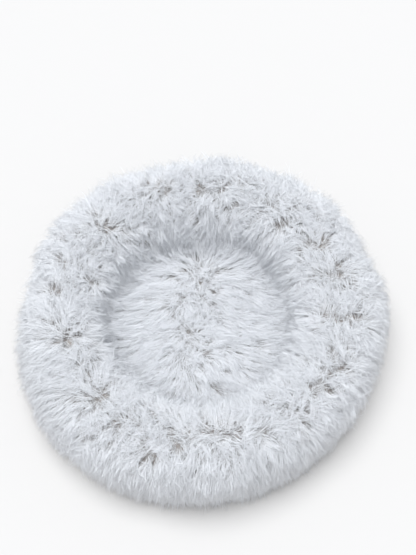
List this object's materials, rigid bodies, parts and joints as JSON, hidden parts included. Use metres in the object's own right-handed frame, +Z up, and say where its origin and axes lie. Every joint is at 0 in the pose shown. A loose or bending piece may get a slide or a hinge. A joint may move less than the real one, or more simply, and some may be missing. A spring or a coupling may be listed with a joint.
{
  "type": "pet cushion bed",
  "caption": "Round long-pile pet bed: a stuffed rim around a lower nest pad, on a non-slip cloth base with a zip underneath.",
  "frame": {"origin": "on the floor, under the centre of the bed: the middle grip dot's lower face", "axes": "+Z up out of the nest, +Y towards the middle of the zip at the back, +X to the right seen from the front"},
  "size_m": [0.5999, 0.6, 0.17],
  "materials": {
    "fur": "matte",
    "lining": "matte",
    "fibre": "matte",
    "thread": "satin",
    "oxford": "matte",
    "grip": "satin",
    "piping": "matte",
    "label": "satin",
    "zip_tape": "matte",
    "zip_coil": "satin",
    "zip_metal": "satin"
  },
  "bodies": {
    "bed": {"rim_cover": "fur", "nest_cover": "fur", "rim_liner": "lining", "rim_filling": "fibre", "nest_liner": "lining", "nest_filling": "fibre", "inner_wall": "lining", "nest_seam_thread": "thread", "base_cloth": "oxford", "grip_coating": "grip", "hem_piping": "piping", "hem_seam_thread": "thread", "care_label": "label", "zip_tape_inner": "zip_tape", "zip_tape_outer": "zip_tape", "zip_coil_inner": "zip_coil", "zip_coil_outer": "zip_coil", "zip_seam_thread": "thread", "zip_top_stops": "zip_metal", "zip_bottom_stop": "zip_metal"},
    "slider": {"zip_slider": "zip_metal"},
    "pull": {"zip_pull": "zip_metal"}
  },
  "joints": [
    {"name": "zip_slide", "type": "hinge", "parent": "bed", "child": "slider", "pos_m": [0, 0, 0.0079], "axis": [0, 0, 1], "range_deg": [0, 147.1]},
    {"name": "pull_swing", "type": "hinge", "parent": "slider", "child": "pull", "pos_m": [0.21637, 0.0638, 0.00471], "axis": [-0.8763, -0.2584, -0.4067], "range_deg": [-5, 175]}
  ]
}
